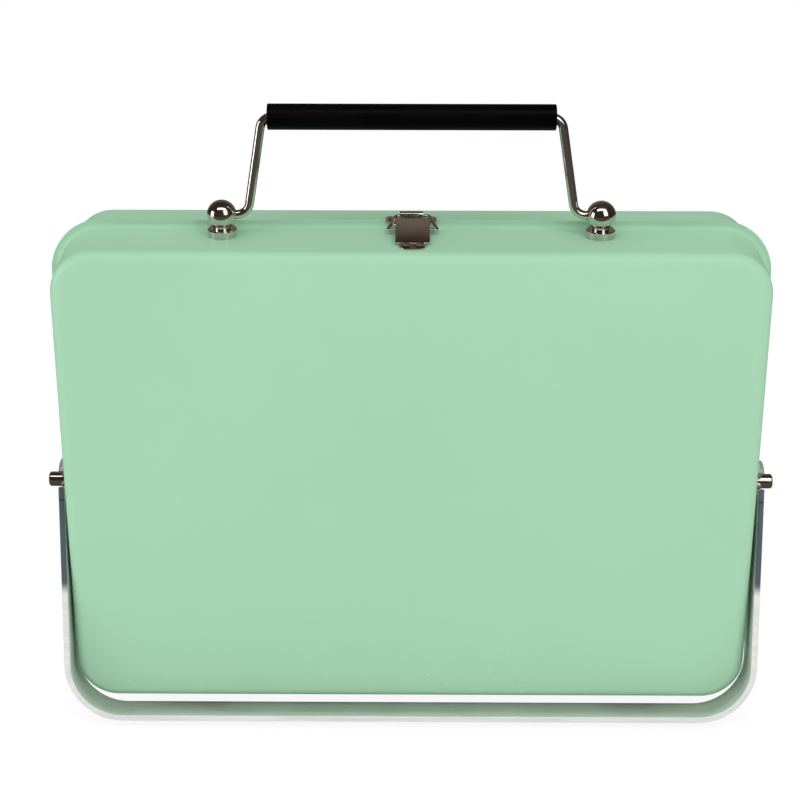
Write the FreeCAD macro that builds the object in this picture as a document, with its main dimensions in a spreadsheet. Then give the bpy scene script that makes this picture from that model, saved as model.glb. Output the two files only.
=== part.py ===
import FreeCAD, Part

import math
import os
import Sketcher

from FreeCAD import Placement, Rotation, Vector

# Folding suitcase barbecue: two pressed-steel halves joined by a pair of hinges along the bottom, closed by a
# draw latch on top. Each half holds a charcoal tray and a wire cooking grate, and has its own U-shaped stand.
#
# Row frame: +X to the right, +Y to the back, +Z up. Z = 0 is the floor under the standing case, X = 0 is
# the middle of the case, and Y = 0 is the middle of the whole depth. The front half is on the -Y side.

DIMENSIONS = [
    # case halves
    ("face_width", 329.6, "flat front of a half, across"),
    ("face_height", 230.8, "flat front of a half, up"),
    ("face_corner", 20.0, "corner radius of the front"),
    ("face_round", 4.8, "rounding between the front and the walls"),
    ("half_depth", 37.5, "parting plane to the front of a half"),
    ("draft_angle", 2.2, "slope of the pressed walls, degrees"),
    ("sheet_steel", 0.8, "thickness of the case sheet"),
    ("rim_reach", 5.24, "rim outline outside the front's outline"),
    ("rim_fillet", 2.5, "concave rounding between wall and rim"),
    ("rim_gap", 0.2, "gap between the two rims"),
    ("latch_notch_width", 27.4, "rim notch under the latch, at its top"),
    ("latch_notch_slope", 2.6, "run of each sloped end of that notch"),
    ("latch_notch_depth", 2.7, "depth of that notch"),
    # stands
    ("pivot_above_face", 110.9, "stand pivot above the front's lower edge"),
    ("pivot_inset", 18.75, "stand pivot from the parting plane"),
    ("stand_width", 20.0, "width of the stand strip"),
    ("stand_thick", 3.0, "thickness of the stand strip"),
    ("stand_half_span", 169.4, "middle of the case to the outside of a leg"),
    ("stand_reach", 120.2, "pivot to the outside of the foot run"),
    ("stand_bend", 28.0, "outside radius of the stand's bends"),
    ("stand_tilt", 11.0, "front stand swung forward, degrees"),
    ("stand_play", 0.3, "front stand, moved along its pins to the right"),
    ("slot_rise", 11.3, "slope of the stand's slots, degrees"),
    ("pin_radius", 3.55, "stand pin"),
    ("pin_end", 174.8, "outer end of a stand pin from the middle"),
    ("pin_clearance", 0.06, "radial clearance of the stand on its pin"),
    ("pin_thread", 2.5, "radius of the pin's threaded end"),
    ("nut_radius", 4.6, "nut, over its corners"),
    ("nut_height", 3.6, "nut"),
    # handle
    ("stud_spacing", 174.9, "between the two ball studs"),
    ("stud_inset", 11.2, "studs from the parting plane"),
    ("ball_radius", 6.8, "ball of a stud"),
    ("ball_height", 10.2, "ball centre above the wall"),
    ("stud_base_radius", 6.8, "round base of a stud"),
    ("stud_base_height", 3.6, "height of that base"),
    ("stud_neck_radius", 4.0, "neck under the ball"),
    ("wire_radius", 2.1, "handle wire"),
    ("handle_rise", 45.8, "grip axis above the ball axis"),
    ("leg_foot_half", 75.3, "handle legs at the ball axis, from the middle"),
    ("leg_top_half", 67.8, "handle legs at the grip axis, from the middle"),
    ("handle_bend", 6.0, "bend radius of the handle wire"),
    ("grip_radius", 5.9, "grip tube"),
    ("grip_length", 130.4, "length of the grip tube"),
    ("grip_bore", 3.0, "bore of the grip tube, radius"),
    # latch
    ("latch_offset", 0.6, "latch lever and base, to the right of the middle"),
    ("latch_sheet", 0.6, "thickness of the lever"),
    ("lever_width", 15.8, "latch lever"),
    ("base_width", 12.0, "latch base"),
    ("base_sheet", 0.8, "thickness of base and catch"),
    ("bail_radius", 0.85, "latch wire"),
    ("lever_pin_radius", 0.75, "pin of the lever"),
    ("catch_width", 24.0, "foot plate of the catch"),
    ("hook_width", 11.0, "hook of the catch"),
    # hinges
    ("hinge_drop", 116.8, "hinge axis below the stand pivot"),
    ("hinge_spacing", 220.0, "between the two hinges"),
    ("hinge_width", 30.0, "leaf width"),
    ("hinge_sheet", 0.7, "leaf thickness"),
    ("knuckle_radius", 1.7, "hinge knuckle"),
    ("knuckle_middle", 10.0, "length of the middle knuckle"),
    ("hinge_room", 1.2, "free width beside a hinge in the rim"),
    ("hinge_pin_radius", 0.8, "hinge pin"),
    ("hinge_clearance", 0.05, "radial clearance of the hinge pin"),
    # inside
    ("tray_width", 304.0, "charcoal tray pan, across"),
    ("tray_height", 204.0, "charcoal tray pan, up"),
    ("tray_corner", 16.0, "corner radius of the pan"),
    ("tray_lip", 6.0, "lip around the pan"),
    ("tray_top", 12.0, "tray lip from the parting plane"),
    ("tray_depth", 19.0, "lip to the outside of the pan's floor"),
    ("tray_sheet", 0.7, "thickness of the tray"),
    ("tray_round", 4.0, "rounding of the pan's floor"),
    ("spacer_radius", 5.0, "posts behind the tray"),
    ("spacer_across", 240.0, "between the posts, across"),
    ("spacer_up", 150.0, "between the posts, up"),
    ("grate_wire_radius", 2.0, "frame wire of the grate"),
    ("bar_radius", 1.25, "bars of the grate"),
    ("grate_width", 308.0, "grate frame, across its wire axis"),
    ("grate_height", 208.0, "grate frame, up its wire axis"),
    ("grate_corner", 14.0, "corner radius of the frame wire's axis"),
    ("bar_count", 19, "upright bars in a grate"),
    ("bar_margin", 10.0, "last bar from the frame wire's axis"),
    ("clip_width", 7.0, "width of a clip"),
    ("clip_sheet", 0.8, "thickness of a clip"),
]

doc = FreeCAD.newDocument("suitcase_barbecue")
sheet = doc.addObject("Spreadsheet::Sheet", "dims")
for row, (alias, number, note) in enumerate(DIMENSIONS, start=1):
    sheet.set("A%d" % row, alias)
    sheet.set("B%d" % row, str(number))
    sheet.set("C%d" % row, note)
    sheet.setAlias("B%d" % row, alias)
doc.recompute()


def size(alias):
    return float(sheet.get(alias))


def value(expression):
    """The number that an expression on the sheet gives."""
    return float(sheet.evalExpression(expression))


X_AXIS = Vector(1, 0, 0)
Z_AXIS = Vector(0, 0, 1)

# places worked out from the driving dimensions
tilt = math.radians(size("stand_tilt"))
slope = math.tan(math.radians(size("draft_angle")))
pivot_z = size("stand_reach")
face_bottom_z = pivot_z - size("pivot_above_face")
face_top_z = face_bottom_z + size("face_height")
middle_z = (face_bottom_z + face_top_z) / 2
hinge_z = pivot_z - size("hinge_drop")
front_foot_reach = (size("pivot_inset") + size("stand_width") / 2 * math.cos(tilt)
                    + size("stand_reach") * math.sin(tilt))
parting_y = (front_foot_reach - size("half_depth")) / 2

FRONT = Placement(Vector(0, parting_y, middle_z), Rotation(X_AXIS, 90))
REAR = Placement(Vector(0, parting_y, middle_z), Rotation(Z_AXIS, 180) * Rotation(X_AXIS, 90))
LATCH_FRAME = Placement(Vector(size("latch_offset"), parting_y, face_top_z), Rotation())
CATCH_FRAME = Placement(Vector(0, parting_y, face_top_z), Rotation())

# A half's own frame: x across, y up from the middle of the case, z out from the parting plane to its front.
HALF_FRAMES = {"front": FRONT, "rear": REAR}
pivot_local_y = pivot_z - middle_z
hinge_local_y = hinge_z - middle_z
wall_half_height = size("face_height") / 2
wall_half_width = size("face_width") / 2
nodes = []
HAIR = 0.01


def wall_rise(depth):
    """How far the drafted wall stands outside the front's outline, at a depth from the parting plane."""
    return (size("half_depth") - abs(depth)) * slope


def keep(label, feature, placement=Placement()):
    """Name a finished sub-part, place it, and list it for export."""
    feature.Label = label
    feature.Placement = placement
    nodes.append(feature)
    return feature


# ---------------------------------------------------------------- sketch and feature helpers

def new_body(name):
    return doc.addObject("PartDesign::Body", name)


def new_sketch(body, plane_role, offset=0.0):
    """A sketch on one of the body's own origin planes, moved along that plane's normal."""
    plane = [item for item in body.Origin.OriginFeatures if item.Role == plane_role][0]
    sketch = body.newObject("Sketcher::SketchObject", body.Name + "_sketch")
    sketch.AttachmentSupport = [(plane, "")]
    sketch.MapMode = "FlatFace"
    sketch.AttachmentOffset = Placement(Vector(0, 0, offset), Rotation())
    return sketch


def pad(body, sketch, length, symmetric=False, taper=None):
    feature = body.newObject("PartDesign::Pad", body.Name + "_pad")
    feature.Profile = sketch
    feature.setExpression("Length", length)
    feature.Midplane = symmetric
    if taper:
        feature.setExpression("TaperAngle", taper)
    doc.recompute()
    return feature


def pocket(body, sketch, length=None, reversed_cut=False, symmetric=False, taper=None):
    """Cut the sketch out of the body, through all when no length is given, and make sure that it cuts."""
    before = body.Shape.Volume
    feature = body.newObject("PartDesign::Pocket", body.Name + "_pocket")
    feature.Profile = sketch
    if length:
        feature.setExpression("Length", length)
    else:
        feature.Type = "ThroughAll"
    feature.Reversed = reversed_cut
    feature.Midplane = symmetric
    if taper:
        feature.setExpression("TaperAngle", taper)
    doc.recompute()
    if not body.Shape.Volume < before - 0.001:
        raise RuntimeError("a pocket of %s cuts nothing" % body.Name)
    return feature


def fillet(body, edges, radius):
    """Round the edges of the body's tip that the test accepts."""
    base = body.Tip
    names = ["Edge%d" % (i + 1) for i, edge in enumerate(base.Shape.Edges) if edges(edge)]
    if not names:
        raise RuntimeError("no edge to round on %s" % body.Name)
    feature = body.newObject("PartDesign::Fillet", body.Name + "_fillet")
    feature.Base = (base, names)
    feature.setExpression("Radius", radius)
    doc.recompute()
    return feature


def rounded_rectangle(sketch, width, height, radius):
    """A rounded rectangle about the sketch's origin, its sizes bound to expressions on the sheet."""
    half_w = value(width) / 2
    half_h = value(height) / 2
    corner = value(radius)
    first = sketch.GeometryCount
    in_w = half_w - corner
    in_h = half_h - corner
    ends = [((-in_w, -half_h), (in_w, -half_h)), ((half_w, -in_h), (half_w, in_h)),
            ((in_w, half_h), (-in_w, half_h)), ((-half_w, in_h), (-half_w, -in_h))]
    for start, end in ends:
        sketch.addGeometry(Part.LineSegment(Vector(*start, 0), Vector(*end, 0)))
    centres = [(in_w, -in_h), (in_w, in_h), (-in_w, in_h), (-in_w, -in_h)]
    for turn, centre in enumerate(centres):
        circle = Part.Circle(Vector(*centre, 0), Z_AXIS, corner)
        start_angle = (turn - 1) * math.pi / 2
        sketch.addGeometry(Part.ArcOfCircle(circle, start_angle, start_angle + math.pi / 2))
    for side in range(4):
        line = first + side
        arc = first + 4 + side
        sketch.addConstraint(Sketcher.Constraint("Tangent", line, 2, arc, 1))
        sketch.addConstraint(Sketcher.Constraint("Tangent", arc, 2, first + (side + 1) % 4, 1))
    for line, direction in ((0, "Horizontal"), (2, "Horizontal"), (1, "Vertical"), (3, "Vertical")):
        sketch.addConstraint(Sketcher.Constraint(direction, first + line))
    for arc in (5, 6, 7):
        sketch.addConstraint(Sketcher.Constraint("Equal", first + 4, first + arc))
    sketch.addConstraint(Sketcher.Constraint("Symmetric", first, 1, first + 2, 1, -1, 1))
    bound = [("DistanceX", first + 3, 1, first + 1, 1, 2 * half_w, width),
             ("DistanceY", first, 1, first + 2, 1, 2 * half_h, height)]
    for kind, one, one_end, other, other_end, number, expression in bound:
        index = sketch.addConstraint(Sketcher.Constraint(kind, one, one_end, other, other_end, number))
        sketch.setExpression("Constraints[%d]" % index, expression)
    index = sketch.addConstraint(Sketcher.Constraint("Radius", first + 4, corner))
    sketch.setExpression("Constraints[%d]" % index, radius)


def circle(sketch, x, y, radius):
    """A circle held at its place, its radius bound to an expression on the sheet."""
    index = sketch.addGeometry(Part.Circle(Vector(x, y, 0), Z_AXIS, value(radius)))
    sketch.addConstraint(Sketcher.Constraint("DistanceX", -1, 1, index, 3, x))
    sketch.addConstraint(Sketcher.Constraint("DistanceY", -1, 1, index, 3, y))
    held = sketch.addConstraint(Sketcher.Constraint("Radius", index, value(radius)))
    sketch.setExpression("Constraints[%d]" % held, radius)


def polygon(sketch, points):
    corners = [Vector(x, y, 0) for x, y in points]
    for start, end in zip(corners, corners[1:] + corners[:1]):
        sketch.addGeometry(Part.LineSegment(start, end))


def bent_path(points, radii, side=0.0):
    """Lines and tangent arcs along a bent strip or wire, moved sideways to the left by side."""
    corners = [Vector(x, y, 0) for x, y in points]
    runs = [(after - before).normalize() for before, after in zip(corners, corners[1:])]
    lefts = [Vector(-run.y, run.x, 0) for run in runs]
    pieces = []
    start = corners[0] + lefts[0] * side
    for index, radius in enumerate(radii):
        corner = corners[index + 1]
        turn = math.atan2(runs[index].cross(runs[index + 1]).z, runs[index].dot(runs[index + 1]))
        setback = radius * math.tan(abs(turn) / 2)
        sense = math.copysign(1.0, turn)
        centre = corner - runs[index] * setback + lefts[index] * (sense * radius)
        enter = corner - runs[index] * setback + lefts[index] * side
        leave = corner + runs[index + 1] * setback + lefts[index + 1] * side
        towards = ((enter - centre) + (leave - centre)).normalize()
        middle = centre + towards * (radius - sense * side)
        pieces.append(Part.LineSegment(start, enter))
        pieces.append(Part.Arc(enter, middle, leave))
        start = leave
    pieces.append(Part.LineSegment(start, corners[-1] + lefts[-1] * side))
    return pieces


def ribbon(sketch, points, radii, thickness):
    """The closed outline of a bent strip of even thickness about the path."""
    left = bent_path(points, radii, thickness / 2)
    right = bent_path(points, radii, -thickness / 2)
    for piece in left + right:
        sketch.addGeometry(piece)
    sketch.addGeometry(Part.LineSegment(left[0].StartPoint, right[0].StartPoint))
    sketch.addGeometry(Part.LineSegment(left[-1].EndPoint, right[-1].EndPoint))


def bent_wire(name, plane_role, points, radii, radius):
    """A round wire along lines and tangent arcs in one of the body's planes."""
    body = new_body(name)
    path = new_sketch(body, plane_role)
    for piece in bent_path(points, radii):
        path.addGeometry(piece)
    doc.recompute()
    section = body.newObject("Sketcher::SketchObject", name + "_section")
    section.AttachmentSupport = [(path, "Edge1")]
    section.MapMode = "NormalToEdge"
    section.MapPathParameter = 0.0
    circle(section, 0, 0, radius)
    doc.recompute()
    pipe = body.newObject("PartDesign::AdditivePipe", name + "_pipe")
    pipe.Profile = section
    pipe.Spine = path
    doc.recompute()
    return body


# ---------------------------------------------------------------- primitive helpers

def placed(start, direction):
    return Placement(Vector(*start), Rotation(Z_AXIS, Vector(*direction)))


def cylinder(radius, height, start, direction=(0, 0, 1)):
    feature = doc.addObject("Part::Cylinder", "cylinder")
    feature.setExpression("Radius", radius)
    feature.setExpression("Height", height)
    feature.Placement = placed(start, direction)
    return feature


def cone(radius, end_radius, height, start, direction=(0, 0, 1)):
    feature = doc.addObject("Part::Cone", "cone")
    feature.setExpression("Radius1", radius)
    feature.setExpression("Radius2", end_radius)
    feature.setExpression("Height", height)
    feature.Placement = placed(start, direction)
    return feature


def ball(radius, centre):
    feature = doc.addObject("Part::Sphere", "ball")
    feature.setExpression("Radius", radius)
    feature.Placement = Placement(Vector(*centre), Rotation())
    return feature


def fuse(parts):
    feature = doc.addObject("Part::MultiFuse", "fuse")
    feature.Shapes = parts
    feature.Refine = True
    return feature


def cut(base, tool):
    feature = doc.addObject("Part::Cut", "cut")
    feature.Base = base
    feature.Tool = tool
    return feature


RIVET = {"head": "2.4", "head_height": "0.6", "top": "1.6", "shank": "1.2", "tail": "1.9",
         "tail_height": "0.7"}
RIVET_LIFT = 0.1


def rivet(face, outward, grip):
    """A low rivet: face is where it goes in, and its shank holds sheets of the thickness grip together."""
    inward = Vector(*outward) * -1
    seat = Vector(*face) - inward * RIVET_LIFT
    length = grip + 2 * RIVET_LIFT
    tail = seat + inward * length
    return [cone(RIVET["head"], RIVET["top"], RIVET["head_height"], tuple(seat), outward),
            cylinder(RIVET["shank"], str(length), tuple(seat), tuple(inward)),
            cylinder(RIVET["tail"], RIVET["tail_height"], tuple(tail), tuple(inward))]


# ---------------------------------------------------------------- case halves

WALL_LENGTH = "dims.half_depth - dims.rim_gap / 2"
WALL_RUN = "(%s) * tan(dims.draft_angle * 1 deg)" % WALL_LENGTH
WALL_WIDTH = "dims.face_width + 2 * " + WALL_RUN
WALL_HEIGHT = "dims.face_height + 2 * " + WALL_RUN
WALL_CORNER = "dims.face_corner + " + WALL_RUN
RIM_WIDTH = "dims.face_width + 2 * dims.rim_reach"
RIM_HEIGHT = "dims.face_height + 2 * dims.rim_reach"
RIM_CORNER = "dims.face_corner + dims.rim_reach"
LATCH_RIVETS = [(-3.2, -28.0), (3.2, -28.0), (0.0, -14.0)]
CATCH_RIVETS = [(-8.8, 13.0), (8.8, 13.0)]
HINGE_RIVET_SIDE = 9.0
HINGE_RIVET_DEPTH = 11.0
RIVET_HOLE = RIVET["shank"]


def shell(name):
    """A drawn half: drafted walls, rounded front, rim turned outwards, hollow from the parting plane."""
    body = new_body(name + "_shell_outside")
    rim_plane = size("rim_gap") / 2
    rim_back = rim_plane + size("sheet_steel")

    outline = new_sketch(body, "XY_Plane", rim_plane)
    rounded_rectangle(outline, WALL_WIDTH, WALL_HEIGHT, WALL_CORNER)
    pad(body, outline, WALL_LENGTH, taper="-dims.draft_angle")
    fillet(body, lambda edge: edge.BoundBox.ZMin > size("half_depth") - 0.01, "dims.face_round")

    rim = new_sketch(body, "XY_Plane", rim_plane)
    rounded_rectangle(rim, RIM_WIDTH, RIM_HEIGHT, RIM_CORNER)
    pad(body, rim, "dims.sheet_steel")

    def meets_rim(edge):
        """Edges where the wall stands on the back of the rim, inside the rim's own outline."""
        box = edge.BoundBox
        if abs(box.ZMin - rim_back) > 0.01 or abs(box.ZMax - rim_back) > 0.01:
            return False
        if hasattr(edge.Curve, "Radius"):
            return edge.Curve.Radius < value(RIM_CORNER) - 1
        return abs(box.XMin) < value(RIM_WIDTH) / 2 - 1 and abs(box.YMin) < value(RIM_HEIGHT) / 2 - 1

    fillet(body, meets_rim, "dims.rim_fillet")

    notches = new_sketch(body, "XY_Plane", rim_plane)
    rim_top = value(RIM_HEIGHT) / 2
    top_half = size("latch_notch_width") / 2
    floor_half = top_half - size("latch_notch_slope")
    above = 1.0
    polygon(notches, [(-top_half, rim_top + above), (-top_half, rim_top),
                      (-floor_half, rim_top - size("latch_notch_depth")),
                      (floor_half, rim_top - size("latch_notch_depth")),
                      (top_half, rim_top), (top_half, rim_top + above)])
    rim_zone = "dims.sheet_steel + dims.rim_fillet + 1"
    pocket(body, notches, rim_zone, reversed_cut=True)

    deep = rim_plane + value(rim_zone)
    for side in (-1, 1):
        room = new_sketch(body, "YZ_Plane", side * size("hinge_spacing") / 2)
        polygon(room, [(-wall_half_height - wall_rise(0), 0), (-rim_top - above, 0), (-rim_top - above, deep),
                       (-wall_half_height - wall_rise(deep), deep)])
        pocket(body, room, "dims.hinge_width + 2 * dims.hinge_room", symmetric=True)

    pin_holes = new_sketch(body, "YZ_Plane")
    circle(pin_holes, pivot_local_y, size("pivot_inset"), "dims.pin_thread + 0.1")
    pocket(body, pin_holes, symmetric=True)

    top_holes = new_sketch(body, "XZ_Plane")
    if name == "front":
        for side in (-1, 1):
            circle(top_holes, side * size("stud_spacing") / 2, size("stud_inset"), "2.1")
        for x, y in LATCH_RIVETS:
            circle(top_holes, x + size("latch_offset"), -y, RIVET_HOLE)
    else:
        for x, y in CATCH_RIVETS:
            circle(top_holes, -x, y, RIVET_HOLE)
    pocket(body, top_holes)

    hinge_holes = new_sketch(body, "XZ_Plane")
    for side in (-1, 1):
        for step in (-1, 1):
            x = side * size("hinge_spacing") / 2 + step * HINGE_RIVET_SIDE
            circle(hinge_holes, x, HINGE_RIVET_DEPTH, RIVET_HOLE)
    pocket(body, hinge_holes, reversed_cut=True)

    cavity = new_body(name + "_shell_cavity")
    inside = new_sketch(cavity, "XY_Plane", rim_plane)
    rounded_rectangle(inside, WALL_WIDTH + " - 2 * dims.sheet_steel",
                      WALL_HEIGHT + " - 2 * dims.sheet_steel", WALL_CORNER + " - dims.sheet_steel")
    pad(cavity, inside, WALL_LENGTH + " - dims.sheet_steel", taper="-dims.draft_angle")
    floor = size("half_depth") - size("sheet_steel")
    fillet(cavity, lambda edge: edge.BoundBox.ZMin > floor - 0.01, "dims.face_round - dims.sheet_steel")
    keep(name + "_shell", cut(body, cavity), HALF_FRAMES[name])


# ---------------------------------------------------------------- hinges

def hinge_leaf(name, side_name, side):
    """A leaf riveted under the bottom wall. The front has the outer knuckles, the rear the middle one."""
    body = new_body("%s_hinge_leaf_%s" % (name, side_name))
    thick = size("hinge_sheet")
    radius = size("knuckle_radius")
    upright = radius - thick / 2
    under_wall = -wall_half_height - thick / 2 - HAIR
    far = 16.0
    strip = new_sketch(body, "YZ_Plane")
    path = [(hinge_local_y, upright), (under_wall - wall_rise(upright), upright),
            (under_wall - wall_rise(far), far)]
    ribbon(strip, path, [0.9], thick)
    pad(body, strip, "dims.hinge_width", symmetric=True)
    knuckle = new_sketch(body, "YZ_Plane")
    circle(knuckle, hinge_local_y, 0, "dims.knuckle_radius")
    pad(body, knuckle, "dims.hinge_width", symmetric=True)
    bore = new_sketch(body, "YZ_Plane")
    circle(bore, hinge_local_y, 0, "dims.hinge_pin_radius + dims.hinge_clearance")
    pocket(body, bore, symmetric=True)

    # room for the other leaf's knuckles, as seen from the front of the half
    room = new_sketch(body, "XY_Plane", -radius - 1)
    low = hinge_local_y - radius - 1
    high = hinge_local_y + radius + 0.5
    middle = size("knuckle_middle") / 2
    gap = 0.2
    outer = size("hinge_width") / 2 + 1
    if name == "front":
        spans = [(-middle - gap, middle + gap)]
    else:
        spans = [(-outer, -middle), (middle, outer)]
    for left, right in spans:
        polygon(room, [(left, low), (right, low), (right, high), (left, high)])
    pocket(body, room, "2 * dims.knuckle_radius + 1 + 0.01", reversed_cut=True)

    holes = new_sketch(body, "XZ_Plane")
    for step in (-1, 1):
        circle(holes, step * HINGE_RIVET_SIDE, HINGE_RIVET_DEPTH, RIVET_HOLE)
    pocket(body, holes, reversed_cut=True)
    frame = HALF_FRAMES[name]
    local_x = side if name == "front" else -side
    offset = Placement(Vector(local_x * size("hinge_spacing") / 2, 0, 0), Rotation())
    keep("%s_hinge_leaf_%s" % (name, side_name), body, frame * offset)


def hinge_rivets(name):
    parts = []
    face_y = -wall_half_height - wall_rise(HINGE_RIVET_DEPTH) - size("hinge_sheet")
    grip = size("hinge_sheet") + size("sheet_steel")
    for side in (-1, 1):
        for step in (-1, 1):
            x = side * size("hinge_spacing") / 2 + step * HINGE_RIVET_SIDE
            parts += rivet((x, face_y, HINGE_RIVET_DEPTH), (0, -1, 0), grip)
    keep(name + "_hinge_rivets", fuse(parts), HALF_FRAMES[name])


def hinge_pin(side_name, side):
    """A headed pin through the three knuckles of one hinge."""
    middle = side * size("hinge_spacing") / 2
    half = size("hinge_width") / 2
    head = 0.6
    parts = [cylinder("dims.hinge_pin_radius", "dims.hinge_width + 0.2", (middle - half - 0.1, 0, 0),
                      (1, 0, 0))]
    for end in (-1, 1):
        start = (middle + end * (half + 0.1), 0, 0)
        parts.append(cone("dims.hinge_pin_radius + 0.5", "dims.hinge_pin_radius + 0.2", str(head), start,
                          (end, 0, 0)))
    keep("hinge_pin_" + side_name, fuse(parts), Placement(Vector(0, parting_y, hinge_z), Rotation()))


# ---------------------------------------------------------------- stands

def stand(name, placement):
    """A flat strip bent to a U. Its own frame has the pivot axis along x through the origin."""
    body = new_body(name + "_stand")
    thick = size("stand_thick")
    width = size("stand_width")
    side = size("stand_half_span") - thick / 2
    foot = -size("stand_reach") + thick / 2
    end = width / 2
    bend = size("stand_bend") - thick / 2
    strip = new_sketch(body, "XZ_Plane")
    ribbon(strip, [(-side, end), (-side, foot), (side, foot), (side, end)], [bend, bend], thick)
    pad(body, strip, "dims.stand_width", symmetric=True)

    def leg_end(edge):
        box = edge.BoundBox
        return box.ZMin > end - 0.01 and abs(abs(box.YMin) - width / 2) < 0.01 and box.XLength > thick - 0.1

    fillet(body, leg_end, "dims.stand_width / 2 - 0.1")
    # each leg hooks over its pin: a slot as high as the pin, open to the side that swings out
    slot = new_sketch(body, "YZ_Plane")
    reach = size("pin_radius") + size("pin_clearance")
    rise = math.radians(size("slot_rise"))
    out = Vector(-math.cos(rise), math.sin(rise), 0) * (width / 2 + 2 * reach)
    upper = Vector(math.sin(rise), math.cos(rise), 0) * reach
    back = Vector(math.cos(rise), -math.sin(rise), 0) * reach
    slot.addGeometry(Part.LineSegment(out + upper, upper))
    slot.addGeometry(Part.Arc(upper, back, -upper))
    slot.addGeometry(Part.LineSegment(-upper, out - upper))
    slot.addGeometry(Part.LineSegment(out - upper, out + upper))
    pocket(body, slot, symmetric=True)
    keep(name + "_stand", body, placement)


def stand_pins(name):
    """Plain pins with a shoulder against the wall and a threaded end inside."""
    parts = []
    shoulder = wall_half_width + wall_rise(size("pivot_inset") - size("pin_radius")) + 0.02
    bevel = 0.7
    thread_end = wall_half_width - 5.5
    for side in (-1, 1):
        y = pivot_local_y
        z = size("pivot_inset")
        length = size("pin_end") - bevel - shoulder
        parts.append(cylinder("dims.pin_radius", str(length), (side * shoulder, y, z), (side, 0, 0)))
        parts.append(cone("dims.pin_radius", "dims.pin_radius - 0.6", str(bevel),
                          (side * (shoulder + length), y, z), (side, 0, 0)))
        parts.append(cylinder("dims.pin_thread", str(shoulder - thread_end), (side * thread_end, y, z),
                              (side, 0, 0)))
    keep(name + "_stand_pins", fuse(parts), HALF_FRAMES[name])


def pin_nuts(name):
    """Hexagon nuts on the pins' threaded ends, inside the walls."""
    parts = []
    inner_wall = wall_half_width + wall_rise(size("pivot_inset")) - size("sheet_steel")
    for side in (-1, 1):
        start = (side * (inner_wall - 0.2), pivot_local_y, size("pivot_inset"))
        nut = doc.addObject("Part::Prism", "nut")
        nut.Polygon = 6
        nut.setExpression("Circumradius", "dims.nut_radius")
        nut.setExpression("Height", "dims.nut_height")
        nut.Placement = placed(start, (-side, 0, 0))
        bore = cylinder("dims.pin_thread", "dims.nut_height", start, (-side, 0, 0))
        parts.append(cut(nut, bore))
    keep(name + "_pin_nuts", fuse(parts), HALF_FRAMES[name])


# ---------------------------------------------------------------- handle

stud_y = parting_y - size("stud_inset")
stud_wall_z = face_top_z + wall_rise(size("stud_inset"))
lean = math.radians(size("draft_angle"))
ball_axis = Vector(0, stud_y - size("ball_height") * math.sin(lean),
                   stud_wall_z + size("ball_height") * math.cos(lean))
WIRE_DEPTH = 3.5


def handle_stud(side_name, side):
    """A turned stud, square to the drafted wall: base, neck and ball, bored for the wire and its screw."""
    ball_height = size("ball_height")
    base_height = size("stud_base_height")
    edge = 0.4
    parts = [cylinder("dims.stud_base_radius", "dims.stud_base_height - 0.4", (0, 0, 0)),
             cone("dims.stud_base_radius", "dims.stud_base_radius - 0.6", str(edge),
                  (0, 0, base_height - edge)),
             cylinder("dims.stud_neck_radius", "dims.ball_height", (0, 0, 0)),
             ball("dims.ball_radius", (0, 0, ball_height))]
    bores = [cylinder("dims.wire_radius + 0.05", "dims.ball_radius",
                      (-side * WIRE_DEPTH + side, 0, ball_height), (-side, 0, 0)),
             cylinder("2", "3", (0, 0, 0))]
    stud = cut(fuse(parts), fuse(bores))
    place = Placement(Vector(side * size("stud_spacing") / 2, stud_y, stud_wall_z),
                      Rotation(X_AXIS, size("draft_angle")))
    keep("handle_stud_" + side_name, stud, place)


def stud_screws():
    """Round-headed screws that hold the studs from inside the front half."""
    parts = []
    head = 2.4
    under = size("sheet_steel") + 0.05
    for side in (-1, 1):
        x = side * size("stud_spacing") / 2
        parts.append(cylinder("2", str(3 + under), (x, 0, -under)))
        parts.append(cone("3.6", "2.6", str(head), (x, 0, -under), (0, 0, -1)))
    place = Placement(Vector(0, stud_y, stud_wall_z), Rotation(X_AXIS, size("draft_angle")))
    keep("handle_stud_screws", fuse(parts), place)


def handle():
    end = size("stud_spacing") / 2 - WIRE_DEPTH + 0.5
    foot = size("leg_foot_half")
    top = size("leg_top_half")
    rise = size("handle_rise")
    bend = size("handle_bend")
    route = [(-end, 0), (-foot, 0), (-top, rise), (top, rise), (foot, 0), (end, 0)]
    wire = bent_wire("handle_wire", "XZ_Plane", route, [bend] * 4, "dims.wire_radius")
    keep("handle_wire", wire, Placement(ball_axis, Rotation()))

    grip = new_body("handle_grip")
    ring = new_sketch(grip, "YZ_Plane")
    circle(ring, 0, 0, "dims.grip_radius")
    circle(ring, 0, 0, "dims.grip_bore")
    pad(grip, ring, "dims.grip_length", symmetric=True)
    fillet(grip, lambda edge: abs(edge.Curve.Radius - size("grip_radius")) < 0.01
           if hasattr(edge.Curve, "Radius") else False, "0.5")
    keep("handle_grip", grip, Placement(ball_axis + Vector(0, 0, rise), Rotation()))


# ---------------------------------------------------------------- latch
# The latch's frame: y from the parting plane, z up from the front's top edge line.

LEVER_PIN = (-4.5, 4.3)
WIRE_PIN = (-9.3, 3.3)
CROSSBAR = (4.2, 5.9)
PLATE_REAR = (-2.6, 6.6)
PLATE_FRONT = (-25.0, 1.8)
EAR_RADIUS = 1.4
EAR_START = 120
EAR_END = -40
EAR_REAR = -6.0
EAR_FRONT = -11.5
EAR_STEP = 2.9


def along_plate(along, over):
    """A point given along the lever plate from its pin, towards its free end, and over it."""
    run = Vector(PLATE_FRONT[0] - PLATE_REAR[0], PLATE_FRONT[1] - PLATE_REAR[1], 0).normalize()
    return (LEVER_PIN[0] + run.x * along + run.y * over, LEVER_PIN[1] + run.y * along - run.x * over)


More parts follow.
